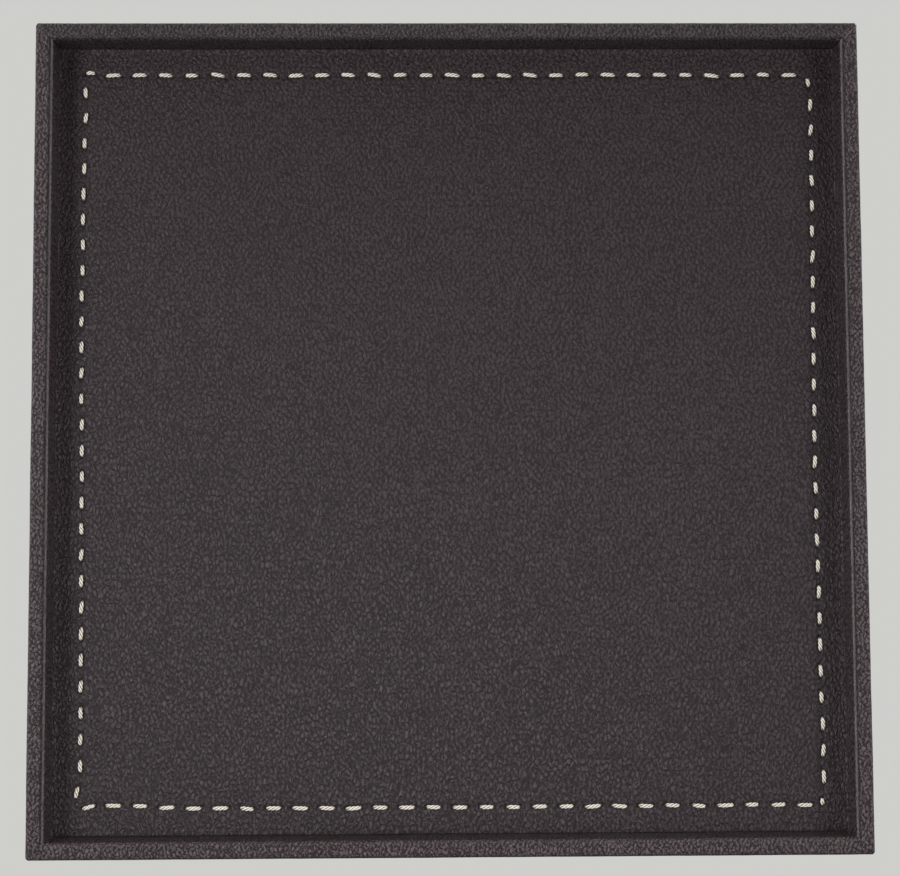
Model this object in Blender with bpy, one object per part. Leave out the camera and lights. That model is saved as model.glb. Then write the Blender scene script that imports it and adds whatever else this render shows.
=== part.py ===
"""A shallow square tray of leather over board, with a row of running stitches along each side of its floor.

Metres, +Z up. The origin is the middle of the underside, and -Y is the front.
"""

import math

import bmesh
import bpy
from mathutils import Matrix, Vector

mm = 0.001

# Driving dimensions: the outside of the tray and the depth of its well
side = 200 * mm
inner_depth = 7.5 * mm

# Sheets and boards, as thick as they are bought
board_thickness = 2.4 * mm
band_thickness = 0.5 * mm
floor_leather_thickness = 0.6 * mm
padding_thickness = 1.1 * mm
cover_thickness = 0.6 * mm

# What lies on or beside a neighbour keeps this gap, which glue fills
seat_gap = 0.3 * mm

# Leather band: the hem turned under the tray, and the cuts that let it lie flat at the corners
hem_width = 14 * mm
mitre_gap = 0.3 * mm

# Underside cover: how far it stays back from the tray's outside, and its corners
cover_inset = 3 * mm
cover_corner_radius = 2.5 * mm

# Floor leather: its pared upper edge
floor_edge_radius = 0.35 * mm

# Running stitches, sewn in a flat waxed thread
thread_width = 1.0 * mm
thread_thickness = 0.6 * mm
thread_clearance = 0.15 * mm
stitch_length = 3.2 * mm
stitch_spacing = 3.2 * mm
stitch_crown = 0.12 * mm
plunge_run = 0.7 * mm
stitch_margin = 6.3 * mm
corner_bridge = 0.4 * mm

# Cutters run past what they cut by this much, and points nearer than the weld distance become one
overrun = 1 * mm
weld_distance = seat_gap / 100

# Facets of a round fold, and sides of the thread
fold_steps = 5
corner_steps = 3
thread_sides = 6
bevel_steps = 3
smooth_angle = math.radians(40)

# Heights, stacked from the underside up
fold_radius = band_thickness + seat_gap
hem_bottom = cover_thickness + seat_gap
hem_top = hem_bottom + band_thickness
board_bottom = hem_bottom + fold_radius
base_top = board_bottom + board_thickness
padding_bottom = base_top + seat_gap
padding_top = padding_bottom + padding_thickness
floor_bottom = padding_top + seat_gap
floor_top = floor_bottom + floor_leather_thickness
height = floor_top + inner_depth

# Plan sizes, worked inwards from the outside
half_side = side / 2
rim_width = board_thickness + 2 * fold_radius
board_outside = half_side - fold_radius
board_inside = board_outside - board_thickness
floor_half = half_side - rim_width - seat_gap
row_half = half_side - rim_width - stitch_margin

# The thread's two levels, over and under the floor leather
thread_over = floor_top + thread_clearance + thread_thickness / 2
thread_under = floor_bottom - thread_clearance - thread_thickness / 2

# A punched hole is as long as the slanting thread needs to pass through the leather
plunge_slope = math.atan2(thread_over - thread_under, plunge_run)
drift_in_hole = floor_leather_thickness / math.tan(plunge_slope)
hole_half_length = (drift_in_hole + thread_thickness / math.sin(plunge_slope)) / 2 + thread_clearance
hole_half_width = thread_width / 2 + thread_clearance


def clear_scene():
    """Removes whatever the file opens with."""
    for old in list(bpy.data.objects):
        bpy.data.objects.remove(old, do_unlink=True)


def make_material(name, colour, roughness):
    """A plain finish; nothing on the tray is metal."""
    material = bpy.data.materials.new(name)
    material.use_nodes = True
    shader = material.node_tree.nodes["Principled BSDF"]
    shader.inputs["Base Color"].default_value = (*colour, 1.0)
    shader.inputs["Roughness"].default_value = roughness
    shader.inputs["Metallic"].default_value = 0.0
    return material


def add_object(name, bm, material=None):
    """Turns a bmesh into a named object with outward faces and smooth shading between its sharp edges."""
    bmesh.ops.recalc_face_normals(bm, faces=bm.faces)
    mesh = bpy.data.meshes.new(name)
    bm.to_mesh(mesh)
    bm.free()
    mesh.shade_smooth()
    mesh.set_sharp_from_angle(angle=smooth_angle)
    new = bpy.data.objects.new(name, mesh)
    bpy.context.scene.collection.objects.link(new)
    if material:
        mesh.materials.append(material)
    return new


def add_block(bm, low, high):
    """Adds a block between two opposite corners, and returns its vertices."""
    low = Vector(low)
    high = Vector(high)
    place = Matrix.Translation((low + high) / 2) @ Matrix.Diagonal((*(high - low), 1.0))
    return bmesh.ops.create_cube(bm, size=1.0, matrix=place)["verts"]


def cut(target, cutter):
    """Takes the cutter out of the target, and keeps the cutter as a hidden guide."""
    modifier = target.modifiers.new(cutter.name, "BOOLEAN")
    modifier.operation = "DIFFERENCE"
    modifier.solver = "EXACT"
    modifier.object = cutter
    cutter.hide_render = True
    cutter.display_type = "WIRE"


def arc(centre, radius, start, end, steps):
    """Points of an arc in the plane of a profile, with its angles in degrees."""
    points = []
    for i in range(steps + 1):
        angle = math.radians(start + (end - start) * i / steps)
        points.append((centre[0] + radius * math.cos(angle), centre[1] + radius * math.sin(angle)))
    return points


def band_profile():
    """The leather band's section: how far in from the tray's outside, and how high.

    One sheet runs from the hem under the tray, up the outside, over the rim and down into the well. Its three
    folds turn about the wall board's edges, so the sheet keeps its thickness.
    """
    lower_edge = (fold_radius, board_bottom)
    upper_outer_edge = (fold_radius, height - fold_radius)
    upper_inner_edge = (rim_width - fold_radius, height - fold_radius)
    outside = [(hem_width, hem_bottom)]
    outside += arc(lower_edge, fold_radius, 270, 180, fold_steps)
    outside += arc(upper_outer_edge, fold_radius, 180, 90, fold_steps)
    outside += arc(upper_inner_edge, fold_radius, 90, 0, fold_steps)
    outside.append((rim_width, padding_bottom))
    inside = [(rim_width - band_thickness, padding_bottom)]
    inside += arc(upper_inner_edge, seat_gap, 0, 90, fold_steps)
    inside += arc(upper_outer_edge, seat_gap, 90, 180, fold_steps)
    inside += arc(lower_edge, seat_gap, 180, 270, fold_steps)
    inside.append((hem_width, hem_top))
    return outside + inside


def band_ring(bm, profile, quarter, step):
    """The profile's vertices at one step round the corner of a quarter.

    Each corner of the wall boards is a pivot. What lies outside it swings round it in an arc, and what lies
    inside it meets its neighbour on the mitre.
    """
    turn = math.radians(90 * (quarter + step / corner_steps))
    swing = Vector((math.cos(turn), math.sin(turn), 0))
    diagonal = math.radians(90 * quarter + 45)
    corner = Vector((math.copysign(1, math.cos(diagonal)), math.copysign(1, math.sin(diagonal)), 0))
    ring = []
    for inward, level in profile:
        place = corner * (half_side - max(inward, fold_radius)) + swing * max(0, fold_radius - inward)
        place.z = level
        ring.append(bm.verts.new(place))
    return ring


def make_rim_leather(material):
    """The band: its section carried round the four corners, then slit at its seam and in its hem."""
    profile = band_profile()
    bm = bmesh.new()
    rings = [band_ring(bm, profile, quarter, step) for quarter in range(4) for step in range(corner_steps + 1)]
    for ring, following in zip(rings, rings[1:] + rings[:1]):
        for i in range(len(profile)):
            bm.faces.new((ring[i - 1], ring[i], following[i], following[i - 1]))
    bmesh.ops.remove_doubles(bm, verts=bm.verts, dist=weld_distance)
    band = add_object("rim_leather", bm, material)
    cut(band, make_band_cutter())
    return band


def make_band_cutter():
    """Four thin upright slabs on the diagonals.

    The one at the back right runs the band's whole height, where its two ends meet. The other three only slit the
    hem, which would bunch at the corners.
    """
    bm = bmesh.new()
    start = math.sqrt(2) * (half_side - hem_width) - overrun
    fold_line = math.sqrt(2) * board_outside
    outside = math.sqrt(2) * half_side + overrun
    for quarter in range(4):
        is_seam = quarter == 0
        end = outside if is_seam else fold_line
        top = height + overrun if is_seam else (hem_top + board_bottom) / 2
        low = (start, -mitre_gap / 2, hem_bottom - overrun)
        high = (end, mitre_gap / 2, top)
        slab = add_block(bm, low, high)
        turn = Matrix.Rotation(math.radians(90 * quarter + 45), 3, "Z")
        bmesh.ops.rotate(bm, verts=slab, cent=(0, 0, 0), matrix=turn)
    return add_object("cutter_band_slits", bm)


def make_board(name, half_x, half_y, bottom, top, place, material):
    """A board cut square, standing or lying at its place."""
    bm = bmesh.new()
    add_block(bm, (-half_x, -half_y, bottom), (half_x, half_y, top))
    board = add_object(name, bm, material)
    board.location = place
    return board


def make_boards(parent, material):
    """The base board, and the wall boards that stand round it. The side walls run the whole length."""
    wall_middle = (board_outside + board_inside) / 2
    wall_half = board_thickness / 2
    wall_top = height - fold_radius
    between = board_inside - seat_gap
    boards = [
        make_board("base_board", between, between, board_bottom, base_top, (0, 0, 0), material),
        make_board("wall_board_left", wall_half, board_outside, board_bottom, wall_top,
                   (-wall_middle, 0, 0), material),
        make_board("wall_board_right", wall_half, board_outside, board_bottom, wall_top,
                   (wall_middle, 0, 0), material),
        make_board("wall_board_front", between, wall_half, board_bottom, wall_top,
                   (0, -wall_middle, 0), material),
        make_board("wall_board_back", between, wall_half, board_bottom, wall_top,
                   (0, wall_middle, 0), material),
    ]
    for board in boards:
        board.parent = parent


def make_padding(material):
    """The felt under the floor leather, with a square groove for the hidden runs of the thread."""
    bm = bmesh.new()
    add_block(bm, (-floor_half, -floor_half, padding_bottom), (floor_half, floor_half, padding_top))
    padding = add_object("floor_padding", bm, material)
    cut(padding, make_groove_cutter())
    return padding


def make_groove_cutter():
    """A square ring of rectangular section, turned in four steps from its section on the diagonal."""
    groove_half = thread_width / 2 + seat_gap
    groove_floor = thread_under - thread_thickness / 2 - seat_gap
    bm = bmesh.new()
    corners = [
        (row_half - groove_half, groove_floor),
        (row_half + groove_half, groove_floor),
        (row_half + groove_half, padding_top + overrun),
        (row_half - groove_half, padding_top + overrun),
    ]
    verts = [bm.verts.new((plan, plan, level)) for plan, level in corners]
    edges = [bm.edges.new((verts[i - 1], verts[i])) for i in range(len(verts))]
    bmesh.ops.spin(bm, geom=verts + edges, cent=(0, 0, 0), axis=(0, 0, 1), angle=math.tau,
                   steps=4, use_merge=True, use_duplicate=False)
    bmesh.ops.remove_doubles(bm, verts=bm.verts, dist=weld_distance)
    return add_object("cutter_thread_groove", bm)


def stitch_places():
    """The middles of one row's stitches, measured along the row from its centre.

    The outermost holes leave a bridge of leather to the crossing row's. Between them goes every stitch that fits,
    and the spaces stretch a little to come out even.
    """
    outermost = row_half - hole_half_width - corner_bridge - hole_half_length
    count = math.floor((2 * outermost + stitch_spacing) / (stitch_length + stitch_spacing))
    pitch = (2 * outermost - stitch_length) / (count - 1)
    return [(i - (count - 1) / 2) * pitch for i in range(count)]


def row_frames():
    """For each side of the floor, its name and the turn that carries the front row there."""
    names = ("front", "right", "back", "left")
    return [(name, Matrix.Rotation(math.radians(90 * i), 4, "Z")) for i, name in enumerate(names)]


def make_floor_leather(material):
    """The floor: a square of leather with a pared upper edge and two punched holes for each stitch."""
    bm = bmesh.new()
    add_block(bm, (-floor_half, -floor_half, floor_bottom), (floor_half, floor_half, floor_top))
    rim_edges = [edge for edge in bm.edges if all(v.co.z > (floor_bottom + floor_top) / 2 for v in edge.verts)]
    bmesh.ops.bevel(bm, geom=rim_edges, offset=floor_edge_radius, segments=bevel_steps, profile=0.5,
                    affect="EDGES", clamp_overlap=True)
    leather = add_object("floor_leather", bm, material)
    cut(leather, make_hole_cutter())
    return leather


def make_hole_cutter():
    """A block for each hole: two for each stitch of each row."""
    bm = bmesh.new()
    for _, turn in row_frames():
        for middle in stitch_places():
            for end in (-1, 1):
                along = middle + end * stitch_length / 2
                low = (along - hole_half_length, -row_half - hole_half_width, floor_bottom - overrun)
                high = (along + hole_half_length, -row_half + hole_half_width, floor_top + overrun)
                block = add_block(bm, low, high)
                bmesh.ops.transform(bm, matrix=turn, verts=block)
    return add_object("cutter_stitch_holes", bm)


def thread_path():
    """The thread's middle line in the upright plane of its row: distance along, and height.

    It comes up through one hole, arches over the leather and goes down the next, then runs hidden to the
    following stitch. Its two tails stop short of the crossing rows.
    """
    half = stitch_length / 2
    shoulder = half - plunge_run / 2
    arch_shares = (-1, -0.4, 0.4, 1)
    tail_end = row_half - thread_width / 2 - seat_gap
    path = [(-tail_end, thread_under)]
    for middle in stitch_places():
        path.append((middle - half - plunge_run / 2, thread_under))
        for share in arch_shares:
            path.append((middle + share * shoulder, thread_over + stitch_crown * (1 - share ** 2)))
        path.append((middle + half + plunge_run / 2, thread_under))
    path.append((tail_end, thread_under))
    return path


def thread_frames():
    """A frame at each point of the path, square to the thread there and as wide and thick as the thread."""
    path = [Vector((along, -row_half, level)) for along, level in thread_path()]
    across = Vector((0, 1, 0))
    frames = []
    for i, point in enumerate(path):
        ahead = path[min(i + 1, len(path) - 1)]
        behind = path[max(i - 1, 0)]
        forward = ((ahead - point).normalized() + (point - behind).normalized()).normalized()
        upward = forward.cross(across)
        axes = (upward * thread_thickness / 2, -across * thread_width / 2, forward)
        frame = Matrix(axes).transposed().to_4x4()
        frame.translation = point
        frames.append(frame)
    return frames


def make_thread(side_name, turn, material):
    """One length of thread: a flattened ring drawn along its frames, over and under the leather."""
    bm = bmesh.new()
    frames = thread_frames()
    bmesh.ops.create_circle(bm, radius=1.0, segments=thread_sides, matrix=frames[0])
    edges = list(bm.edges)
    for behind, ahead in zip(frames, frames[1:]):
        grown = bmesh.ops.extrude_edge_only(bm, edges=edges)["geom"]
        ring = [item for item in grown if isinstance(item, bmesh.types.BMVert)]
        edges = [item for item in grown if isinstance(item, bmesh.types.BMEdge)]
        bmesh.ops.transform(bm, matrix=ahead @ behind.inverted(), verts=ring)
    bmesh.ops.holes_fill(bm, edges=bm.edges, sides=thread_sides)
    bmesh.ops.transform(bm, matrix=turn, verts=bm.verts)
    return add_object("stitching_" + side_name, bm, material)


def make_cover(material):
    """The sheet under the tray, with rounded corners, on which it stands."""
    half = half_side - cover_inset
    bm = bmesh.new()
    add_block(bm, (-half, -half, 0), (half, half, cover_thickness))
    corners = [edge for edge in bm.edges if abs(edge.verts[0].co.z - edge.verts[1].co.z) > cover_thickness / 2]
    bmesh.ops.bevel(bm, geom=corners, offset=cover_corner_radius, segments=fold_steps, profile=0.5,
                    affect="EDGES", clamp_overlap=True)
    return add_object("base_cover", bm, material)


def build_tray():
    """Makes every piece and hangs it on one empty at the origin."""
    clear_scene()
    tray = bpy.data.objects.new("tray", None)
    bpy.context.scene.collection.objects.link(tray)

    leather = make_material("dark_brown_leather", (0.047, 0.038, 0.041), 0.5)
    board = make_material("grey_board", (0.36, 0.33, 0.29), 0.9)
    felt = make_material("felt_padding", (0.13, 0.12, 0.12), 0.95)
    linen = make_material("cream_linen_thread", (0.62, 0.55, 0.46), 0.7)
    suede = make_material("suede_underside", (0.035, 0.028, 0.028), 0.9)

    make_boards(tray, board)
    pieces = [
        make_rim_leather(leather),
        make_padding(felt),
        make_floor_leather(leather),
        make_cover(suede),
    ]
    for side_name, turn in row_frames():
        pieces.append(make_thread(side_name, turn, linen))
    for piece in pieces:
        piece.parent = tray


build_tray()
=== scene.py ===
# %% [markdown]
# # A square leather tray
# The tray is a shallow box of grey board wrapped in dark brown leather, with a stitched leather floor. The
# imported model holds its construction: the boards, the folded band, the floor and the thread, each at its real
# size. This script loads it as a fixed frame and gives it its looks. It makes a finer mesh for each leather
# piece and each row of thread, and a finish for every piece.

import math
import random
from bisect import bisect_left

import bmesh
import bpy
from mathutils import Matrix, Vector, noise


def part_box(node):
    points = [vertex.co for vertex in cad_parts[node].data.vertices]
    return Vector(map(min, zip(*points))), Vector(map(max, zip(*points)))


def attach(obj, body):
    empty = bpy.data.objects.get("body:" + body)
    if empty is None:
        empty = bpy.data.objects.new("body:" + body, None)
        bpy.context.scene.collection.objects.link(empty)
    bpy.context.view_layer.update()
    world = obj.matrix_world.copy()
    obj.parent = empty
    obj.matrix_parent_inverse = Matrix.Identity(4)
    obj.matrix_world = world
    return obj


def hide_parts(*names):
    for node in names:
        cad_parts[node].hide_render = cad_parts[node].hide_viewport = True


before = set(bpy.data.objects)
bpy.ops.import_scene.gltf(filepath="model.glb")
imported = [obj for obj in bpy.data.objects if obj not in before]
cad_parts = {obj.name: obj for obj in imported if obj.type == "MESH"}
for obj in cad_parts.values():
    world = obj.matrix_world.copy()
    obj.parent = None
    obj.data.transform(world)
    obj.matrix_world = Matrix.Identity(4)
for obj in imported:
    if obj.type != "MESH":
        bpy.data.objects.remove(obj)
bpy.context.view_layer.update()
mm = 0.001

# %% [markdown]
# ## Sizes
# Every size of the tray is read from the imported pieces, so a new piece lands where the construction has it.
# The tray is square and its middle is the origin, so one corner of each piece's box gives its half width and
# its heights. The folds of the band turn round the wall board's edges: how far the board stays back from the
# tray's outside is also the radius of a fold.

# %% Read the sizes
band_low, band_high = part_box("rim_leather")
board_low, board_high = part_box("wall_board_right")
floor_low, floor_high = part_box("floor_leather")
felt_low, felt_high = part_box("floor_padding")
cover_low, cover_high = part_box("base_cover")
row_low, row_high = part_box("stitching_front")

half_side = band_high.x
height = band_high.z
hem_bottom = band_low.z
fold_radius = half_side - board_high.x
rim_width = board_high.x - board_low.x + 2 * fold_radius
wall_foot = felt_low.z
row_half = -(row_low.y + row_high.y) / 2
print("half side", round(half_side / mm, 2), "rim", round(rim_width / mm, 2), "row", round(row_half / mm, 2))

# %% [markdown]
# ## Camera
# The photograph looks almost straight down. Fitting a camera to the four corners of the rim and of the floor
# gave its place, 372 mm above the table and a little in front of the tray's middle, and three small turns.
# The turns are about the picture's own axes, in the order Z, Y, X, which is Blender's rotation mode ZYX. The
# sensor is 36 mm wide, as Blender's is, and the lens is then 60 mm.

# %% Place the camera
camera_place = Vector((-4.67, -24.2, 372.0)) * mm
camera_turns = (0.0640, -0.0132, -0.0039)

camera_data = bpy.data.cameras.new("camera")
camera_data.lens = 60.08
camera_data.sensor_width = 36.0
camera_data.sensor_fit = "HORIZONTAL"
camera_data.clip_start = 10 * mm
camera = bpy.data.objects.new("camera", camera_data)
camera.location = camera_place
camera.rotation_mode = "ZYX"
camera.rotation_euler = camera_turns
bpy.context.scene.collection.objects.link(camera)
bpy.context.scene.camera = camera
print("camera", round(camera_place.z / mm), "mm up, lens", camera_data.lens)

# %% [markdown]
# ## Light
# The left wall throws a soft shadow on the floor's edge, and the tray a soft one on the table to its right,
# so the main light is a softbox at the left. Where that shadow starts and ends gives its height, 50 degrees,
# and its size. A weaker one at the right does the same from 45 degrees. A third hangs close above the tray's
# front edge, half a metre up, so the leather gets lighter towards the picture's lower edge. The rest is the
# room, which the world stands for. How much each one gives was fitted to the photograph's leather and table.
#
# The shares of all the lights add up to about one. Then a white surface lying flat renders white, and each
# colour comes out about as it is written. A softbox at distance d whose light arrives at an angle e above the
# table gives the share s of that level when its power is s * pi^2 * d^2 / sin(e).

# %% Hang the lights
def softbox(name, share, azimuth, elevation, distance, size):
    """An area light that faces the tray's middle. Azimuth 0 is the right side, 90 the back, 180 the left."""
    turn = math.radians(azimuth)
    rise = math.radians(elevation)
    towards = Vector((math.cos(turn) * math.cos(rise), math.sin(turn) * math.cos(rise), math.sin(rise)))
    data = bpy.data.lights.new(name, "AREA")
    data.shape = "DISK"
    data.size = size
    data.energy = share * math.pi ** 2 * distance ** 2 / math.sin(rise)
    light = bpy.data.objects.new(name, data)
    light.location = towards * distance
    light.rotation_mode = "QUATERNION"
    light.rotation_quaternion = towards.to_track_quat("Z", "Y")
    bpy.context.scene.collection.objects.link(light)
    print(name, round(data.energy, 2), "W")


softbox("light_left", share=0.33, azimuth=180, elevation=50, distance=1.1, size=0.42)
softbox("light_right", share=0.17, azimuth=0, elevation=45, distance=1.1, size=0.48)
softbox("light_overhead", share=0.31, azimuth=270, elevation=75, distance=0.55, size=0.3)

# %% [markdown]
# ## Node trees as sums
# A material is easier to read as a formula than as a list of links. A `Wire` holds a socket. Adding or
# multiplying wires, or a wire and a number, adds the Math node for it, also with the number in front. A
# `Graph` is one node tree, and its `node` method adds any other node: first its settings, then the values or
# links of its sockets.

# %% Make wires and graphs
class Wire:
    """An output socket that can be used in a sum."""

    def __init__(self, graph, socket):
        self.graph = graph
        self.socket = socket

    def math(self, operation, *values):
        """A Math node of this operation on the values, which can be wires or numbers."""
        return self.graph.node("Math", {"operation": operation}, dict(enumerate(values)))

    def __add__(self, other):
        return self.math("ADD", self, other)

    def __radd__(self, other):
        return self.math("ADD", other, self)

    def __sub__(self, other):
        return self.math("SUBTRACT", self, other)

    def __rsub__(self, other):
        return self.math("SUBTRACT", other, self)

    def __mul__(self, other):
        return self.math("MULTIPLY", self, other)

    def __rmul__(self, other):
        return self.math("MULTIPLY", other, self)

    def clipped(self):
        """The same value, held between 0 and 1."""
        return self.graph.node("Clamp", {}, {"Value": self})

    def eased(self, start, end):
        """0 where the value is at start or below it, 1 at end, and a smooth rise between them."""
        ranges = {"Value": self, "From Min": start, "From Max": end}
        return self.graph.node("MapRange", {"interpolation_type": "SMOOTHSTEP"}, ranges)


class Graph:
    """One node tree, with a method that adds a node and hands back one of its outputs."""

    def __init__(self, tree):
        self.tree = tree

    def node(self, kind, settings, sockets, output=0):
        """Adds a shader node of this kind."""
        made = self.tree.nodes.new("ShaderNode" + kind)
        for name, value in settings.items():
            setattr(made, name, value)
        for name, value in sockets.items():
            self.feed(made.inputs[name], value)
        return Wire(self, made.outputs[output])

    def feed(self, socket, value):
        """Links a wire to a socket, or sets the socket's own value."""
        if isinstance(value, Wire):
            self.tree.links.new(value.socket, socket)
        else:
            socket.default_value = value

    def mix(self, share, first, second):
        """The first colour where the share is 0, the second where it is 1."""
        colours = {0: share, 6: first, 7: second}
        return self.node("Mix", {"data_type": "RGBA"}, colours, output=2)

    def place(self):
        """Where a point is on the tray, in metres."""
        return self.node("TexCoord", {}, {}, output="Object")

    def vector(self, operation, first, second):
        """A Vector Math node on two vectors."""
        return self.node("VectorMath", {"operation": operation}, {0: first, 1: second})

    def noise(self, place, size, detail=2.0, roughness=0.5, output="Fac"):
        """Soft noise whose lumps have about this size in metres."""
        sockets = {"Vector": place, "Scale": 1 / size, "Detail": detail, "Roughness": roughness}
        return self.node("TexNoise", {}, sockets, output)


def start_material(name, roughness, specular=0.5, sheen=0.0):
    """A new material, its graph, and its shader's sockets, with the values that are the same all over."""
    material = bpy.data.materials.new(name)
    material.use_nodes = True
    sockets = material.node_tree.nodes["Principled BSDF"].inputs
    sockets["Roughness"].default_value = roughness
    sockets["Specular IOR Level"].default_value = specular
    sockets["Sheen Weight"].default_value = sheen
    return material, Graph(material.node_tree), sockets


print("node trees can be written as sums")

# %% [markdown]
# ## Table and room
# The tray stands on a plain pale table top. It is wide enough that every view looks onto it. It lets the
# camera through from below, and it is open where the tray's underside covers it, so that the underside can be
# looked at and gets light. The world gives the room's light, which comes mostly from low down, from the
# windows and walls all round. It falls off as the square of 1 - z, with z the rise of the direction, so a
# level of 6 would make a white surface white. More of it comes from the back than from the front, because the
# inner face of the tray's front wall is lighter than that of its back wall. The camera sees the world as a
# pale backdrop. The backdrop's colour tints the room's light too, so the light's strength is divided by how
# pale that colour is.

# %% Make the table and the world
table_half = 1.5
cover_lap = 1.2 * mm
opening_half = cover_high.x - cover_lap
table_colour = (0.660, 0.641, 0.594, 1.0)
room_colour = (0.62, 0.62, 0.60, 1.0)
horizon_level = 1.15
back_share = 0.9


def make_table():
    """A flat sheet under the tray, see-through from below, with an opening that the tray covers."""
    bm = bmesh.new()
    bmesh.ops.create_grid(bm, x_segments=1, y_segments=1, size=table_half)
    opening = bm.faces[:]
    bmesh.ops.inset_region(bm, faces=opening, thickness=table_half - opening_half, use_even_offset=True)
    bmesh.ops.delete(bm, geom=opening, context="FACES_ONLY")
    mesh = bpy.data.meshes.new("table_top")
    bm.to_mesh(mesh)
    bm.free()
    table = bpy.data.objects.new("table_top", mesh)
    bpy.context.scene.collection.objects.link(table)
    material, graph, sockets = start_material("table_paper", roughness=0.85, specular=0.2)
    fibres = graph.noise(graph.place(), 6 * mm, detail=6.0)
    paler = tuple(value * 1.04 for value in table_colour[:3]) + (1.0,)
    graph.feed(sockets["Base Color"], graph.mix(fibres, table_colour, paler))
    from_below = graph.node("NewGeometry", {}, {}, output="Backfacing")
    clear = graph.node("BsdfTransparent", {}, {})
    paper = Wire(graph, graph.tree.nodes["Principled BSDF"].outputs[0])
    shown = graph.node("MixShader", {}, {0: from_below, 1: paper, 2: clear})
    graph.feed(graph.tree.nodes["Material Output"].inputs["Surface"], shown)
    mesh.materials.append(material)


def make_world():
    """Light from all round, strongest near the horizon, and a pale backdrop for the camera."""
    world = bpy.data.worlds.new("room")
    world.use_nodes = True
    bpy.context.scene.world = world
    graph = Graph(world.node_tree)
    seen = graph.node("LightPath", {}, {}, output="Is Camera Ray")
    direction = graph.node("TexCoord", {}, {}, output="Generated")
    rise = graph.node("SeparateXYZ", {}, {0: direction}, output="Z")
    backwards = graph.node("SeparateXYZ", {}, {0: direction}, output="Y")
    down = 1 - rise.clipped()
    room_light = horizon_level * down * down * (1 + back_share * backwards)
    background = world.node_tree.nodes["Background"]
    background.inputs["Color"].default_value = room_colour
    graph.feed(background.inputs["Strength"], seen + (1 - seen) * room_light * (1 / room_colour[0]))


make_table()
make_world()
bpy.context.scene.view_settings.view_transform = "Standard"
print("table", 2 * table_half, "m wide, the room gives", round(horizon_level / 6, 2), "of the light")

# %% [markdown]
# ## Leather
# Embossed calf leather is a field of small pebbles with creases between them. Each pebble is about a
# millimetre wide and longer along the tray than across it. Three textures add up to that grain. A Voronoi
# texture's distance to the nearest cell edge is zero in the creases and grows towards each pebble's middle. A
# Gabor texture adds short, close wrinkles that all run about the same way. A soft noise, folded at its middle
# value, draws the finest cracks. The coordinates are first pushed about by another noise, so no cell edge
# stays straight. All of it is read from object coordinates, which are metres on the tray, so the grain has
# its real size on every piece. The Gabor texture is flat and would draw stripes down the walls, so its
# coordinates slant with the height.
#
# The dye is lighter and greyer on the pebbles, which are handled, than in the creases, where it stays deep and
# red, and it wanders slightly over the hide. Its square root is taken, so most of a pebble is one colour and
# the dark falls off quickly in the creases, which are also duller. The band is cut from the same hide, but from
# a part with smaller pebbles. Its finish has paler pebbles and a stronger contrast than the floor's.
#
# Where the leather is folded round an edge it is stretched smooth, so its grain is flatter there, and its
# colour is made paler and browner as a painted highlight. The meshes below store how much in an attribute: a
# little on every fold, and about 1 where the highlight is painted on the inner folds of the left and right rims
# and on the lips of the corner joint. In the stitches' pits, along the thread's dip, in the rim's grooves and
# along the outer folds at the front and the back, the leather is painted darker as painted shade, and the whole
# back rim is darker too. Another attribute says by how much.

# %% Make the leather
floor_pebble_size = 0.9 * mm
rim_pebble_size = 0.75 * mm
pebble_relief = 0.16 * mm
crease_colour = (0.0090, 0.0020, 0.0045, 1.0)
floor_pebble = (0.0445, 0.0294, 0.0344, 1.0)
rim_pebble = (0.1050, 0.0800, 0.0880, 1.0)
# The colour of the painted highlight on folds and lips.
highlight_colour = (0.2200, 0.1700, 0.1750, 1.0)
# The colour of the painted shade in pits, grooves and along the front and back outer folds, also used for the
# darker back rim.
painted_shade_colour = (0.0040, 0.0022, 0.0026, 1.0)


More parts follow.
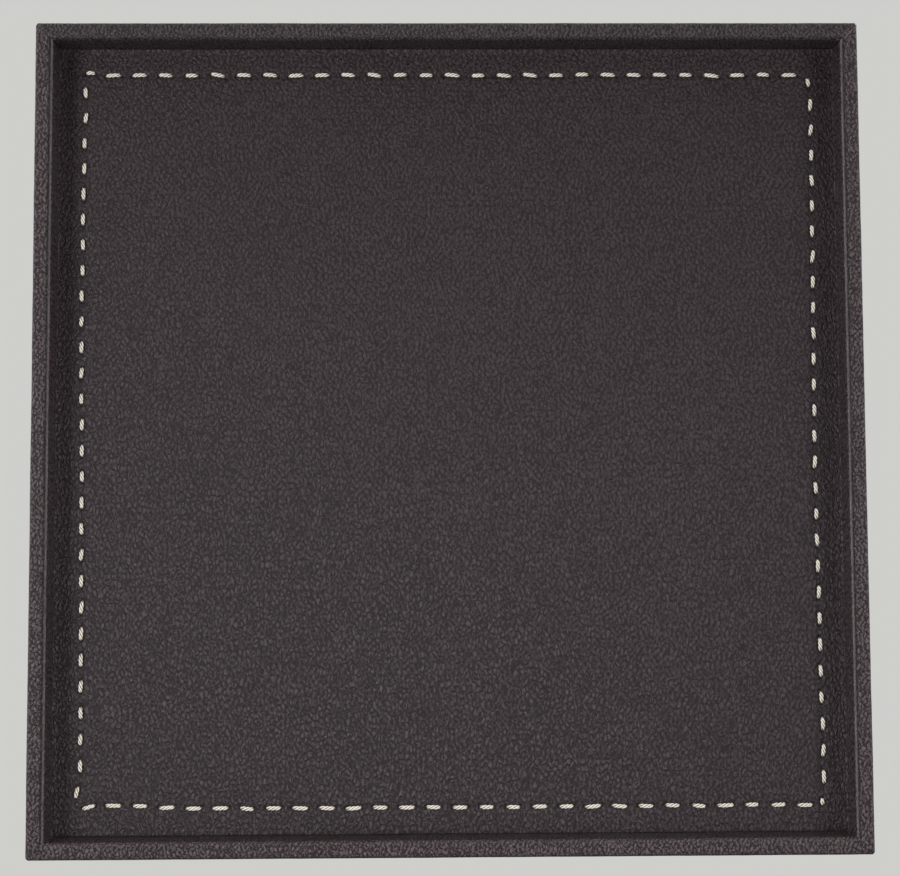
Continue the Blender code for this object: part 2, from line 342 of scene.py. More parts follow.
def make_leather(name, pebble_size, pebble_colour, contrast, relief_depth):
    """Dark brown pebbled leather. Contrast is how strongly its dye differs between pebbles and creases."""
    material, graph, sockets = start_material(name, roughness=0.6, specular=0.43)
    place = graph.place()
    wear_and_painted_highlight = graph.node("Attribute", {"attribute_name": "wear_and_painted_highlight"}, {}, output="Fac")
    painted_shade_and_darkening = graph.node("Attribute", {"attribute_name": "painted_shade_and_darkening"}, {}, output="Fac")

    push = graph.noise(place, 1.8 * pebble_size, output="Color")
    pushed = graph.vector("SUBTRACT", push, (0.5, 0.5, 0.5))
    pushed = graph.vector("MULTIPLY", pushed, (0.9 * pebble_size,) * 3)
    stretched = graph.vector("MULTIPLY", place, (1.0, 0.62, 1.0))
    grain_place = graph.vector("ADD", stretched, pushed)
    edge_settings = {"feature": "DISTANCE_TO_EDGE"}
    cell = graph.node("TexVoronoi", edge_settings, {"Vector": grain_place, "Scale": 1 / pebble_size})
    dome = cell.eased(0.0, 0.3)
    fold = graph.noise(grain_place, pebble_size, detail=1.0) - 0.5
    crack = fold.math("ABSOLUTE", fold).eased(0.0, 0.10)
    pores = graph.noise(stretched, 0.31 * pebble_size, detail=2.0, roughness=0.6)
    run = {"Scale": 0.37 / pebble_size, "Frequency": 2.0, "Anisotropy": 0.45, "Orientation": 0.0}
    level = graph.node("SeparateXYZ", {}, {0: place}, output="Z")
    slanted = graph.vector("ADD", place, graph.node("CombineXYZ", {}, {0: level, 1: level}))
    wrinkle = graph.node("TexGabor", {}, {"Vector": slanted, **run}, output="Value")

    relief = (0.5 * dome + 0.3 * crack + 0.2 * pores + 0.2 * wrinkle) * (1 - 0.6 * wear_and_painted_highlight)
    bump = graph.node("Bump", {}, {"Height": relief, "Distance": relief_depth, "Strength": 1.0})
    graph.feed(sockets["Normal"], bump)

    hide = graph.noise(place, 38 * mm, detail=3.0)
    grain = 0.38 * dome + 0.35 * crack + 0.75 * (pores - 0.5) + 1.2 * (wrinkle - 0.5) - 0.54
    tone = (0.5 + contrast * (1 - 0.5 * wear_and_painted_highlight) * grain + 0.4 * (hide - 0.5)).clipped()
    dyed = graph.mix(tone.math("SQRT", tone), crease_colour, pebble_colour)
    # Painted highlight: the folds and the joint's lips are made paler and browner.
    painted_highlight = (0.8 * wear_and_painted_highlight * (0.2 + 0.8 * graph.noise(place, 5 * mm, detail=3.0))).clipped()
    highlighted_leather = graph.mix(painted_highlight, dyed, highlight_colour)
    # Painted shade: pits, grooves and the front and back outer folds are mixed towards near-black, and the back
    # rim is darker all over.
    graph.feed(sockets["Base Color"], graph.mix((0.95 * painted_shade_and_darkening).clipped(), highlighted_leather, painted_shade_colour))
    graph.feed(sockets["Roughness"], 0.62 - 0.25 * dome - 0.08 * wear_and_painted_highlight + 0.06 * hide)
    print(name, "pebbles", round(pebble_size / mm, 2), "mm, relief", round(relief_depth / mm, 3), "mm")
    return material


floor_leather = make_leather("floor_leather_finish", floor_pebble_size, floor_pebble, 1.75, pebble_relief)
rim_leather = make_leather("rim_leather_finish", rim_pebble_size, rim_pebble, 2.4, 1.5 * pebble_relief)

# %% [markdown]
# ## Finishing a mesh
# Each new piece ends the same way. Its faces are turned outwards and shaded smooth, it gets its finish, it
# becomes an object at the origin with its place in its mesh, it rides on the tray's one body, and it stands for
# the plainer solid of the construction.

# %% Make the helper that ends every piece
def finish_piece(name, bm, material, node):
    """Turns a bmesh into a finished object that stands for a node of the construction."""
    bmesh.ops.recalc_face_normals(bm, faces=bm.faces)
    triangles = sum(len(face.verts) - 2 for face in bm.faces)
    mesh = bpy.data.meshes.new(name)
    bm.to_mesh(mesh)
    bm.free()
    mesh.shade_smooth()
    mesh.materials.append(material)
    piece = bpy.data.objects.new(name, mesh)
    bpy.context.scene.collection.objects.link(piece)
    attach(piece, "root")
    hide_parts(node)
    print(name, triangles, "triangles")
    return piece


# %% [markdown]
# ## The rim's leather band: its shape
# One strip of leather starts in a hem under the tray, goes up the outside, over the rim and down into the
# well. It could be drawn as a section and swept round the square, but its corners are easier from a block. A
# cube as large as the tray is opened at the top and the bottom by insets, as wide as the rim and the hem. The
# edge left round the well is drawn down to the well's foot.

# %% Block out the band
band_points = [vert.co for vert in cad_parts["rim_leather"].data.vertices]
hem_inner_half = min(max(abs(point.x), abs(point.y)) for point in band_points)


def block_out_band():
    """The band's outer surface with square edges, open round the hem and round the well's foot."""
    bm = bmesh.new()
    middle = Matrix.Translation((0, 0, (height + hem_bottom) / 2))
    size = Matrix.Diagonal((2 * half_side, 2 * half_side, height - hem_bottom, 1))
    bmesh.ops.create_cube(bm, size=1.0, matrix=middle @ size)
    by_height = sorted(bm.faces, key=lambda face: face.calc_center_median().z)
    bottom = by_height[0]
    top = by_height[-1]
    bmesh.ops.inset_region(bm, faces=[top], thickness=rim_width, use_even_offset=True)
    bmesh.ops.inset_region(bm, faces=[bottom], thickness=half_side - hem_inner_half, use_even_offset=True)
    well_edges = list(top.edges)
    bmesh.ops.delete(bm, geom=[top, bottom], context="FACES_ONLY")
    drawn = bmesh.ops.extrude_edge_only(bm, edges=well_edges)["geom"]
    foot = [item for item in drawn if isinstance(item, bmesh.types.BMVert)]
    bmesh.ops.translate(bm, verts=foot, vec=(0, 0, wall_foot - height))
    bmesh.ops.recalc_face_normals(bm, faces=bm.faces)
    return bm


band = block_out_band()
print("band block", len(band.verts), "vertices,", len(band.faces), "faces")

# %% [markdown]
# Leather can't turn a sharp edge: it bends round the board with a radius of its own thickness and the glue's.
# A bevel of that radius on every outward edge makes the folds. Where three bevels meet at an outer corner
# they leave the small ball that leather makes there. The well's inner corners stay nearly sharp, because the
# leather is cut and butted in them.
#
# Bevel hands back the faces that it made, so the folds are known here. The layer that smooths the folds' grain
# and paints their highlight is filled now. Its value on the folds is low. Every later cut carries the values
# along. A fold is an edge between two faces that stands out by more than one radian.

# %% Bend the folds
fold_steps = 6
fold_wear_and_highlight = 0.15


def bend_folds(bm):
    """Rounds the band's outward edges, and marks the folds for smoothing and a painted highlight."""
    inner_edges = [edge for edge in bm.edges if len(edge.link_faces) == 2]
    folds = [edge for edge in inner_edges if edge.is_convex and edge.calc_face_angle() > 1]
    made = bmesh.ops.bevel(bm, geom=folds, offset=fold_radius, segments=fold_steps, profile=0.5,
                           affect="EDGES", material=-1, clamp_overlap=True)
    fold_faces = set(made["faces"])
    wear_and_painted_highlight = bm.verts.layers.float.new("wear_and_painted_highlight")
    for vert in bm.verts:
        share = sum(face in fold_faces for face in vert.link_faces) / len(vert.link_faces)
        # Every fold gets a low value, which smooths its grain and paints a faint highlight.
        vert[wear_and_painted_highlight] = fold_wear_and_highlight * share ** 2


bend_folds(band)
print("folded band", len(band.verts), "vertices,", len(band.faces), "faces")

# %% [markdown]
# The block's faces are as long as the tray, and leather isn't flat over 20 cm. Cutting the long edges makes
# strips just over a millimetre long, and shorter ones within a centimetre of each corner, where the creases
# are. The edges across the rim, up the walls and across the hem are cut too. An edge is chosen by its
# direction and length, so the four sides are cut alike.

# %% Cut the band into small faces
corner_reach = 10 * mm
rim_step = 0.3 * mm
wall_step = 1.6 * mm
hem_step = 3.5 * mm
strip_length = 1.2 * mm
corner_strip_length = 0.4 * mm
wall_heights = (6 * mm, 13 * mm)
hem_mitres = (15 * mm, 25 * mm)
side_lengths = (50 * mm, 2 * half_side)
corner_lengths = (3.9 * mm, 1.1 * corner_reach)


def cut_edges(bm, chosen, step):
    """Cuts each chosen edge into pieces no longer than the step, and the faces between them into a grid."""
    longest = max(edge.calc_length() for edge in chosen)
    bmesh.ops.subdivide_edges(bm, edges=chosen, cuts=math.ceil(longest / step) - 1, use_grid_fill=True)


def edges_between(bm, shortest, longest, axis=None):
    """The edges whose length lies between two values, all of them or only those along one axis."""
    found = []
    for edge in bm.edges:
        span = edge.verts[1].co - edge.verts[0].co
        is_along = axis is None or abs(span[axis]) > 0.99 * span.length
        if shortest < span.length <= longest and is_along:
            found.append(edge)
    return found


def cut_band(bm):
    """Cuts the band across its section, then along its sides."""
    rim_flat = rim_width - 2 * fold_radius
    mitre = rim_flat * math.sqrt(2)
    cut_edges(bm, edges_between(bm, 0.9 * mitre, 1.1 * mitre), rim_step)
    cut_edges(bm, edges_between(bm, *wall_heights, axis=2), wall_step)
    cut_edges(bm, edges_between(bm, *hem_mitres), hem_step)
    for axis in (0, 1):
        for end in (-1, 1):
            across = Vector((0, 0, 0))
            across[axis] = 1
            corner_start = across * end * (half_side - corner_reach)
            geometry = bm.verts[:] + bm.edges[:] + bm.faces[:]
            bmesh.ops.bisect_plane(bm, geom=geometry, plane_co=corner_start, plane_no=across)
    for axis in (0, 1):
        cut_edges(bm, edges_between(bm, *side_lengths, axis=axis), strip_length)
        cut_edges(bm, edges_between(bm, *corner_lengths, axis=axis), corner_strip_length)


cut_band(band)
print("cut band", len(band.verts), "vertices,", len(band.faces), "faces")

# %% [markdown]
# The strip's two ends meet on the diagonal of the back right corner. Each end is turned in and glued, so the
# joint is a groove between two soft lips. The lips only stand up where the leather lies flat, and they get a
# painted highlight that makes them paler. At the back left corner it bunches into one low ridge, and under the
# tray the hem is slit at every corner. New edges beside the diagonal give the grooves something to bend: each
# cut is a plane parallel to the diagonal, limited to the faces near the corner. A lip or a groove has the
# profile of a bell curve, which later grooves and dips share.

# %% Press the corner joints
joint_reach = 3 * mm
weld = 0.01 * mm
lip_offset = 0.33 * mm
lip_width = 0.22 * mm
groove_width = 0.13 * mm
lip_wear_and_highlight = 5 / mm
joint_cuts = (0, 0.08, 0.16, 0.26, 0.38, 0.55, 0.8, 1.2)


def bell(distance, width):
    """1 where the distance is 0, about a third at one width from there, and next to nothing at two."""
    return math.exp(-(distance / width) ** 2)


def press_joint(bm, azimuth, groove, left_lip, right_lip, is_pressed=lambda vert: True):
    """Cuts the corner at this azimuth beside its diagonal, then pushes its vertices in and out."""
    turn = math.radians(azimuth)
    outward = Vector((math.cos(turn), math.sin(turn), 0))
    across = Vector((-math.sin(turn), math.cos(turn), 0))
    reach = math.sqrt(2) * hem_inner_half - mm
    for offset in joint_cuts:
        for side in ((-1, 1) if offset else (1,)):
            near = []
            for face in bm.faces:
                middle = face.calc_center_median()
                if middle.dot(outward) > reach and abs(middle.dot(across)) < joint_reach:
                    near.append(face)
            edges = {edge for face in near for edge in face.edges}
            verts = {vert for face in near for vert in face.verts}
            bmesh.ops.bisect_plane(bm, geom=near + list(edges) + list(verts), dist=weld,
                                   plane_co=across * side * offset * mm, plane_no=across)
    bm.normal_update()
    wear_and_painted_highlight = bm.verts.layers.float["wear_and_painted_highlight"]
    moves = []
    for vert in bm.verts:
        side = vert.co.dot(across)
        if vert.co.dot(outward) > reach and abs(side) < joint_reach and is_pressed(vert):
            lips = left_lip * bell(side - lip_offset, lip_width)
            lips += right_lip * bell(side + lip_offset, lip_width)
            lips *= abs(vert.normal.z)
            moves.append((vert, vert.normal * (lips - groove * bell(side, groove_width))))
            # Painted highlight: the lips are made paler.
            vert[wear_and_painted_highlight] = max(vert[wear_and_painted_highlight], lip_wear_and_highlight * lips)
    for vert, move in moves:
        vert.co += move
    return len(moves)


def is_under_hem(vert):
    """True for the hem under the tray, where every corner is slit."""
    return vert.co.z < hem_bottom + fold_radius


moved = press_joint(band, 45, groove=0.16 * mm, left_lip=0.14 * mm, right_lip=0.16 * mm)
moved += press_joint(band, 135, groove=0.05 * mm, left_lip=0.02 * mm, right_lip=0.10 * mm)
for azimuth in (225, 315):
    moved += press_joint(band, azimuth, groove=0.30 * mm, left_lip=0.05 * mm, right_lip=0.05 * mm,
                         is_pressed=is_under_hem)
print("corner joints moved", moved, "vertices")

# %% [markdown]
# A wrapped board is never quite flat or straight. Each vertex moves inwards along its normal by a slow noise,
# and a quicker one at the folds, so highlights wander as they do on the real rim. On the left and right the
# leather stands a little off the inside of its board, so those rims look wider than the other two, and at the
# front and the back a little off the outside, which makes the tray a trace longer than it is wide. On the
# left and right it was also rubbed down with a folding bone, which left a shallow groove beside the inner fold.
# There the inner fold gets a painted highlight and the groove a painted shade: the bright line and the dark
# line that follow the well. The outer folds at the front and the back get a painted shade along their edge,
# darkest at the back, and the whole back rim is made darker. Last, a Solidify modifier gives the surface the
# leather's thickness, and the rims of that wall close it.

# %% Give the band its hand-made surface and its thickness
slow_size = 17 * mm
slow_depth = 0.09 * mm
quick_size = 3.2 * mm
quick_depth = 0.05 * mm
band_thickness = 0.5 * mm
well_half = half_side - rim_width
fullness = 0.25 * mm
outer_fullness = 0.15 * mm
wall_slack = 0.4
fade_end = 1.4
# Where the painted highlight lies on the inner folds of the left and right rims.
highlight_reach = well_half - fullness + 0.18 * mm
highlight_width = 0.16 * mm
bone_reach = well_half - fullness + 0.62 * mm
bone_depth = 0.20 * mm
bone_width = 0.23 * mm
rubbing_size = 6 * mm
# Painted shade along the outer folds at the front and the back, and how much darker the whole back rim is.
edge_shade_width = 0.55 * mm
back_edge_shade = 1.2
front_edge_shade = 0.7
back_darkening = 0.34


def wander(place, size, seed):
    """Noise between 0 and 1 whose lumps have about this size."""
    return 0.5 + 0.5 * noise.noise(place / size + Vector((seed, 0, 0)))


def stand_off(bm):
    """Moves the left and right inner walls inwards, and the front and back outer folds outwards.

    Beyond and outside count in fold radii, from the inner wall's face and from where the outer fold starts.
    """
    for vert in bm.verts:
        beyond = (abs(vert.co.x) - well_half) / fold_radius
        if -wall_slack < beyond < fade_end:
            share = min(1.0, fade_end - beyond)
            vert.co.x -= math.copysign(fullness * share, vert.co.x)
        outside = 1 - (half_side - abs(vert.co.y)) / fold_radius
        if outside > 0:
            vert.co.y += math.copysign(outer_fullness * outside, vert.co.y)


def settle_band(bm):
    """Moves the band's vertices a little inwards, and notes the painted highlight, the painted shade and the
    darker back rim.
    """
    wear_and_painted_highlight = bm.verts.layers.float["wear_and_painted_highlight"]
    painted_shade_and_darkening = bm.verts.layers.float.new("painted_shade_and_darkening")
    bm.normal_update()
    moves = []
    for vert in bm.verts:
        sideways = abs(vert.co.x)
        endways = abs(vert.co.y)
        is_on_rim = vert.co.z > height - fold_radius
        depth = slow_depth * (wander(vert.co, slow_size, 3) - 0.35)
        depth += quick_depth * (0.3 + min(1.0, vert[wear_and_painted_highlight] / fold_wear_and_highlight)) * wander(vert.co, quick_size, 11)
        # Left and right rims: the groove gets painted shade, and the inner fold beside it a painted highlight.
        if is_on_rim and sideways > endways:
            force = 0.6 + 0.8 * wander(vert.co, rubbing_size, 15)
            groove = force * bell(sideways - bone_reach, bone_width)
            depth += bone_depth * groove
            vert[painted_shade_and_darkening] = min(1.0, 1.2 * groove)
            vert[wear_and_painted_highlight] += force * bell(sideways - highlight_reach, highlight_width)
        # Front and back rims: painted shade along the outer fold's edge, and the whole back rim darker.
        if is_on_rim and endways > sideways:
            inwards = half_side + outer_fullness - endways
            edge_shade = back_edge_shade if vert.co.y > 0 else front_edge_shade
            tone = back_darkening if vert.co.y > 0 else 0.0
            vert[painted_shade_and_darkening] = min(1.0, tone + edge_shade * bell(inwards, edge_shade_width))
        moves.append((vert, -vert.normal * depth))
    for vert, move in moves:
        vert.co += move
    bmesh.ops.recalc_face_normals(bm, faces=bm.faces)


stand_off(band)
settle_band(band)
rim_band = finish_piece("rim_band", band, rim_leather, "rim_leather")
leather_wall = rim_band.modifiers.new("leather thickness", "SOLIDIFY")
leather_wall.thickness = band_thickness
leather_wall.offset = -1

# %% [markdown]
# ## The stitches' places
# Each stitch was measured on the photograph, by projecting it back through the camera. Hand sewing isn't
# even, so each row has its own pitch and drifts a little in or out along its length, and each stitch leans a
# little, which a seeded random number stands for. Each row ends in an odd stitch or two, short or slanting.
# Distances here are along the row from its middle, and out from the tray's middle, for a row at the front. A
# turn about the tray's middle carries it to its side. A row's own numbers are in millimetres and degrees, and
# so are the spreads of the random numbers, apart from the length's, which is a share.

# %% Lay out the stitches
random.seed(7)
out_spread = 0.06
length_spread = 0.07
lean_spread = 3.6


def lay_row(azimuth, first, pitch, count, length, out, drift, drift_at, drift_reach, lean=0.0, odd=()):
    """The turn that carries a row to its side, and its stitches as (along, out, length, lean in degrees)."""
    stitches = list(odd)
    for i in range(count):
        along = (first + pitch * i) * mm
        bend = bell(along - drift_at * mm, drift_reach * mm)
        here = (out + drift * bend + random.gauss(0, out_spread)) * mm
        stretch = min(1.15, max(0.85, random.gauss(1, length_spread)))
        stitches.append((along, here, length * mm * stretch, lean + random.gauss(0, lean_spread)))
    return Matrix.Rotation(math.radians(azimuth), 4, "Z"), sorted(stitches)


rows = {
    "front": lay_row(0, first=-80.9, pitch=6.39, count=27, length=3.9, out=89.55,
                     drift=-0.9, drift_at=-80, drift_reach=13,
                     odd=[(-86.8 * mm, 89.0 * mm, 3.2 * mm, 17)]),
    "right": lay_row(90, first=-83.0, pitch=6.335, count=27, length=3.0, out=89.92,
                     drift=-0.6, drift_at=-3, drift_reach=45,
                     odd=[(-88.9 * mm, 89.4 * mm, 1.5 * mm, 0), (87.3 * mm, 89.4 * mm, 2.0 * mm, 11)]),
    "back": lay_row(180, first=-84.8, pitch=6.435, count=27, length=3.7, out=89.2,
                    drift=0, drift_at=0, drift_reach=50, lean=-2,
                    odd=[(88.1 * mm, 89.8 * mm, 2.1 * mm, 0)]),
    "left": lay_row(270, first=-84.95, pitch=6.316, count=27, length=2.85, out=88.85,
                    drift=0.84, drift_at=-33, drift_reach=55,
                    odd=[(85.5 * mm, 89.6 * mm, 2.8 * mm, -12)]),
}
print("stitches", {side: len(stitches) for side, (turn, stitches) in rows.items()})

# %% [markdown]
# ## The floor's leather
# The floor is one square of leather glued over felt. Most of it is plain, but along each side the thread is
# pulled tight: the leather dips along the row, and at each hole it is drawn down into a small pit. A grid
# with cells of one size would need far too many for the pits, so the grid starts coarse and only the strips
# under the rows are cut fine. Its outside edge is then drawn outwards and up in a quarter round, because the
# floor was pressed into the walls' foot and turns up there a little, then down along the wall, and closed
# underneath.
#
# The same helpers make the felt below it, with its edge rounded down.

# %% Make a sheet with fine strips under the rows
edge_steps = 4
fine_cuts = 5
strip_reach = 1.7 * mm


def make_sheet(high, cell, edge_radius):
    """A flat square at the top of a box whose high corner this is, with its edge still to be drawn."""
    flat_half = high.x - edge_radius
    bm = bmesh.new()
    segments = round(2 * flat_half / cell)
    bmesh.ops.create_grid(bm, x_segments=segments, y_segments=segments, size=flat_half,
                          matrix=Matrix.Translation((0, 0, high.z)))
    strip = set()
    for face in bm.faces:
        middle = face.calc_center_median()
        if any(abs(abs(middle[axis]) - row_half) < strip_reach for axis in (0, 1)):
            strip.update(face.edges)
    bmesh.ops.subdivide_edges(bm, edges=list(strip), cuts=fine_cuts, use_grid_fill=True)
    return bm


def close_sheet(bm, low, high, edge_radius, edge_turn):
    """Draws the edge outwards in a quarter round, up for a turn of 1 or down for -1, and closes the sheet."""
    ring = [edge for edge in bm.edges if edge.is_boundary]
    flat_half = high.x - edge_radius
    reach = flat_half
    level = high.z
    stops = []
    for step in range(edge_steps):
        angle = math.pi / 2 * (step + 1) / edge_steps
        rise = edge_turn * edge_radius * (1 - math.cos(angle))
        stops.append((flat_half + edge_radius * math.sin(angle), high.z + rise))
    for new_reach, new_level in stops + [(high.x, low.z)]:
        drawn = bmesh.ops.extrude_edge_only(bm, edges=ring)["geom"]
        verts = [item for item in drawn if isinstance(item, bmesh.types.BMVert)]
        ring = [item for item in drawn if isinstance(item, bmesh.types.BMEdge)]
        bmesh.ops.scale(bm, verts=verts, vec=(new_reach / reach, new_reach / reach, 1))
        bmesh.ops.translate(bm, verts=verts, vec=(0, 0, new_level - level))
        reach = new_reach
        level = new_level
    for vert in {vert for edge in ring for vert in edge.verts}:
        vert.co.z = low.z
    bmesh.ops.holes_fill(bm, edges=ring, sides=0)


print("strips", round(2 * strip_reach / mm, 1), "mm wide, cut", fine_cuts + 1, "times finer")

# %% [markdown]
# The dip and the pits are one depth, worked out for each vertex from the nearest stitches of the nearest row.
# Outside the rows the leather was pressed down to the walls' foot, so it slopes away from the cushioned middle,
# and its edge was pushed a fifth of a millimetre into the soft leather of the walls. How deep the leather is
# drawn also goes into an attribute, with which its finish paints shade into the pits and along the dip beside
# the thread.

# %% Press the rows into the leather
dip_depth = 0.10 * mm
dip_reach = 0.85 * mm
pit_depth = 0.46 * mm
pit_length = 0.42 * mm
pit_width = 0.50 * mm
row_reach = 3 * mm
margin_drop = 0.25 * mm
wave_size = 26 * mm
wave_depth = 0.05 * mm
ripple_size = 7 * mm
ripple_depth = 0.02 * mm


def drawn_depth(along, out, stitches):
    """How deep the thread draws the leather down at a place in a row's own frame."""
    depth = 0.0
    for middle, middle_out, length, lean in stitches:
        beside = along - middle
        if abs(beside) > 2 * length:
            continue
        slope = math.tan(math.radians(lean))
        off_line = out - middle_out + beside * slope
        under = dip_depth * bell(off_line, dip_reach) * math.exp(-(beside / length) ** 4)
        depth = max(depth, under)
        for end in (-1, 1):
            from_pit = beside - end * length / 2
            round_pit = (from_pit / pit_length) ** 2 + (off_line / pit_width) ** 2
            depth = max(depth, pit_depth * math.exp(-round_pit))
    return depth


def press_floor(bm):
    """Draws the leather down along the rows and towards the walls, and gives the rest its slow waves."""
    painted_shade_and_darkening = bm.verts.layers.float.new("painted_shade_and_darkening")
    for vert in bm.verts:
        place = vert.co.copy()
        for turn, stitches in rows.values():
            here = turn.inverted() @ place
            if abs(-here.y - row_half) < row_reach:
                depth = drawn_depth(here.x, -here.y, stitches)
                # Painted shade in the pits and along the dip, as deep as the leather is drawn.
                vert[painted_shade_and_darkening] = max(vert[painted_shade_and_darkening], min(1.0, depth / pit_depth) ** 0.7)
                vert.co.z = min(vert.co.z, place.z - depth)
        beyond = max(0.0, max(abs(place.x), abs(place.y)) - row_half) / (floor_high.x - row_half)
        vert.co.z -= margin_drop * beyond ** 1.3
        vert.co.z -= wave_depth * wander(place, wave_size, 5) + ripple_depth * wander(place, ripple_size, 9)


floor_cell = 1.6 * mm
floor_edge_radius = 0.3 * mm
pressed_on = Vector((1, 1, 0)) * 0.2 * mm
floor_low -= pressed_on
floor_high += pressed_on
floor = make_sheet(floor_high, floor_cell, floor_edge_radius)
press_floor(floor)
close_sheet(floor, floor_low, floor_high, floor_edge_radius, edge_turn=1)
finish_piece("floor_sheet", floor, floor_leather, "floor_leather")

# %% [markdown]
# ## The thread: its finish
# The stitches are cream linen thread, twisted from three plies and waxed. Linen is a little uneven and hardly
# shines. What tells the plies apart is the dark hollow between them, which the finish paints in as painted
# shade. A noise could only hint at that. The mesh below stores how far out each of its vertices lies in the
# thread, from 0 at its middle to 1 on a ply's crest, in an attribute called crest, and the finish reads it. The
# thread also gets painted shade low down, near the leather.

# %% Make the linen's finish
linen_colour = (0.97, 0.90, 0.80, 1.0)
linen_shade = (0.15, 0.10, 0.07, 1.0)


def make_linen():
    """Waxed cream linen, with painted shade between its plies and low down."""
    material, graph, sockets = start_material("linen_finish", roughness=0.5, specular=0.5, sheen=0.15)
    place = graph.place()
    level = graph.node("SeparateXYZ", {}, {0: place}, output="Z")
    high = level.eased(floor_high.z - 0.05 * mm, floor_high.z + 0.42 * mm)
    crest = graph.node("Attribute", {"attribute_name": "crest"}, {}, output="Fac").eased(0.55, 0.95)
    fibres = graph.noise(place, 0.16 * mm, detail=3.0, roughness=0.7)
    uneven = graph.noise(place, 2.5 * mm, detail=2.0)
    # Painted shade: the linen darkens between its plies and near the leather.
    unshaded = (1.2 * high * (0.2 + 0.8 * crest) - 0.05 + 0.4 * (fibres - 0.5) + 0.3 * (uneven - 0.5)).clipped()
    graph.feed(sockets["Base Color"], graph.mix(unshaded, linen_shade, linen_colour))
    graph.feed(sockets["Roughness"], 0.6 - 0.25 * uneven)
    bump = graph.node("Bump", {}, {"Height": fibres, "Distance": 0.03 * mm, "Strength": 1.0})
    graph.feed(sockets["Normal"], bump)
    return material


linen = make_linen()
print("linen colour", linen_colour[:3])

# %% [markdown]
# ## The thread: its plies
# The thread is pressed a little flat by the pull. A plain tube would look like wire, so each ply is a tube of
# its own on a helix round the thread's line. A curve with a bevel makes such a tube from a list of points,
# and each point's radius thins the ply where the thread is squeezed in its hole.
#
# The thread's line comes up through a hole, arches over the leather, goes down the next hole and runs hidden
# to the following stitch. Between two holes its height follows 1 - |u|^5, with u from -1 to 1: flat in the
# middle and steep at the ends. The holes squeeze it, so it tapers towards both ends, most at the end where
# the pull was strongest. It has sunk a little into the leather.

# %% Sew the rows
ply_count = 3
ply_radius = 0.215 * mm
ply_across = 0.29 * mm
ply_upward = 0.20 * mm
lay_length = 3.0 * mm
thread_step = 0.17 * mm
sunk = 0.06 * mm
taper_behind = 0.6
taper_ahead = 0.35
thread_over = floor_high.z + ply_upward + ply_radius - sunk
thread_under = (row_low.z + felt_high.z) / 2


def thread_line(stitches):
    """Points along the thread in its row's frame, each with how thick it is, 1 where nothing squeezes it."""
    line = []
    for along, out, length, lean in stitches:
        slope = math.tan(math.radians(lean))
        steps = math.ceil(length / thread_step)
        for i in range(steps + 1):
            u = 2 * i / steps - 1
            rise = 1 - abs(u) ** 5
            taper = taper_ahead if u > 0 else taper_behind
            thickness = 1 - taper * abs(u) ** 3
            beside = u * length / 2
            level = thread_under + (thread_over - thread_under) * rise
            line.append((Vector((along + beside, -(out - beside * slope), level)), thickness))
    return line


def sew_row(side, turn, stitches):
    """One row's thread: three plies wound round its line, made a mesh and turned to its side."""
    line = thread_line(stitches)
    data = bpy.data.curves.new("plies_" + side, "CURVE")
    data.dimensions = "3D"
    data.bevel_depth = ply_radius
    data.bevel_resolution = 2
    data.use_fill_caps = True
    sideways = Vector((0, 1, 0))
    for ply in range(ply_count):
        spline = data.splines.new("POLY")
        spline.points.add(len(line) - 1)
        travelled = 0.0
        for i, (place, thickness) in enumerate(line):
            behind = line[max(i - 1, 0)][0]
            ahead = line[min(i + 1, len(line) - 1)][0]
            travelled += (place - behind).length
            upward = (ahead - behind).normalized().cross(sideways)
            twist = math.tau * (travelled / lay_length + ply / ply_count)
            round_line = sideways * ply_across * math.cos(twist) - upward * ply_upward * math.sin(twist)
            spline.points[i].co = (*(place + thickness * round_line), 1.0)
            spline.points[i].radius = math.sqrt(thickness)
    drawn = bpy.data.objects.new("plies_" + side, data)
    bm = bmesh.new()
    bm.from_mesh(drawn.to_mesh())
    bpy.data.objects.remove(drawn)
    crest = bm.verts.layers.float.new("crest")
    alongs = [place.x for place, thickness in line]
    for vert in bm.verts:
        place = line[min(bisect_left(alongs, vert.co.x), len(line) - 1)][0]
        outwards = (vert.co.y - place.y) / (ply_across + ply_radius)
        upwards = (vert.co.z - place.z) / (ply_upward + ply_radius)
        vert[crest] = math.hypot(outwards, upwards)
    bmesh.ops.transform(bm, matrix=turn, verts=bm.verts)
    return finish_piece("thread_" + side, bm, linen, "stitching_" + side)


for side, (turn, stitches) in rows.items():
    sew_row(side, turn, stitches)

# %% [markdown]
# ## Under the leather: the finishes
# The pieces that the leather hides have their real finishes, for whoever takes the tray apart. Grey board is
# pressed waste paper with pale and dark flecks, felt is matted wool, and suede has a short nap that lies in
# patches. All three are matt, and one recipe serves them: a fine noise for the flecks or fibres and a broad
# one for the patches, at a size and in two colours of their own. The boards are right as the construction has
# them, so they keep their solids and only get the finish.

# %% Finish the boards, the felt and the suede
def make_flecked(name, dark, pale, fleck, relief, sheen=0.0):
    """A matt finish of fibres or flecks of one size, for board, felt and suede."""
    material, graph, sockets = start_material(name, roughness=0.92, specular=0.2, sheen=sheen)
    place = graph.place()
    fine = graph.noise(place, fleck, detail=5.0, roughness=0.7)
    broad = graph.noise(place, 14 * fleck, detail=3.0)
    share = ((fine - 0.5) * 1.9 + (broad - 0.5) * 0.9 + 0.5).clipped()
    graph.feed(sockets["Base Color"], graph.mix(share, (*dark, 1.0), (*pale, 1.0)))
    graph.feed(sockets["Roughness"], 0.86 + 0.1 * fine)
    bump = graph.node("Bump", {}, {"Height": fine + 0.5 * broad, "Distance": relief, "Strength": 1.0})
    graph.feed(sockets["Normal"], bump)
    return material


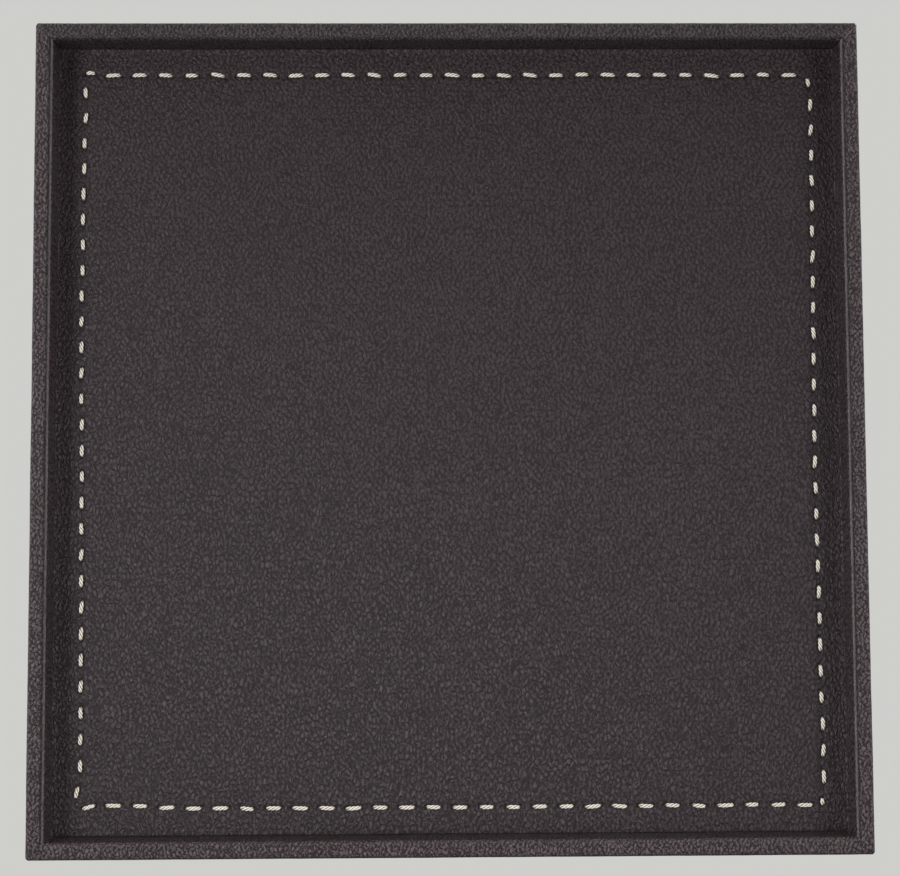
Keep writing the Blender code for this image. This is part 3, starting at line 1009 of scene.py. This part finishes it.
grey_board = make_flecked("grey_board_finish", dark=(0.25, 0.225, 0.19), pale=(0.46, 0.43, 0.38),
                          fleck=0.5 * mm, relief=0.06 * mm)
felt = make_flecked("felt_finish", dark=(0.085, 0.078, 0.078), pale=(0.19, 0.18, 0.18),
                    fleck=0.4 * mm, relief=0.12 * mm, sheen=0.3)
suede = make_flecked("suede_finish", dark=(0.016, 0.012, 0.012), pale=(0.062, 0.050, 0.050),
                     fleck=0.55 * mm, relief=0.1 * mm, sheen=0.1)

for name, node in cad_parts.items():
    if name == "base_board" or name.startswith("wall_board"):
        node.data.materials.clear()
        node.data.materials.append(grey_board)
        print(name, "finished")

# %% [markdown]
# ## The felt
# A sheet of felt under the floor's leather makes it soft to the touch, and the thread's hidden runs lie in a
# groove that they pressed into it. The groove has soft sides, which a solid cut with square edges can't show,
# so the felt gets a mesh of its own from the same two helpers as the floor.

# %% Make the felt with its groove
felt_cell = 3.2 * mm
felt_edge_radius = 0.25 * mm
felt_lump_size = 4 * mm
felt_unevenness = 0.03 * mm
groove_half = 0.8 * mm
groove_depth = 0.75 * mm


def make_felt():
    """The felt sheet, pressed into a groove along the four rows."""
    bm = make_sheet(felt_high, felt_cell, felt_edge_radius)
    for vert in bm.verts:
        away = abs(max(abs(vert.co.x), abs(vert.co.y)) - row_half)
        groove = groove_depth * math.exp(-(away / groove_half) ** 4)
        vert.co.z -= groove + felt_unevenness * wander(vert.co, felt_lump_size, 21)
    close_sheet(bm, felt_low, felt_high, felt_edge_radius, edge_turn=-1)
    return finish_piece("felt_layer", bm, felt, "floor_padding")


felt_layer = make_felt()

# %% [markdown]
# ## The underside
# A square of suede hides the turned hems and keeps the tray from scratching a table. It is a flat piece with
# rounded corners, so a block with bevelled edges is enough: first the four upright edges, with the corners'
# radius, and then every edge round the two flat faces, as softly as cut suede wears.

# %% Make the suede under the tray
suede_corner = 2.5 * mm
suede_edge = 0.15 * mm


def make_underside():
    """A square of suede with rounded corners and softened edges."""
    bm = bmesh.new()
    size = cover_high - cover_low
    place = Matrix.Translation((cover_low + cover_high) / 2) @ Matrix.Diagonal((*size, 1))
    bmesh.ops.create_cube(bm, size=1.0, matrix=place)
    upright = [edge for edge in bm.edges if abs(edge.verts[0].co.z - edge.verts[1].co.z) > size.z / 2]
    bmesh.ops.bevel(bm, geom=upright, offset=suede_corner, segments=8, profile=0.5, affect="EDGES",
                    material=-1)
    rims = [edge for edge in bm.edges if edge.calc_face_angle() > 1]
    bmesh.ops.bevel(bm, geom=rims, offset=suede_edge, segments=3, profile=0.5, affect="EDGES", material=-1)
    return finish_piece("underside_suede", bm, suede, "base_cover")


make_underside()
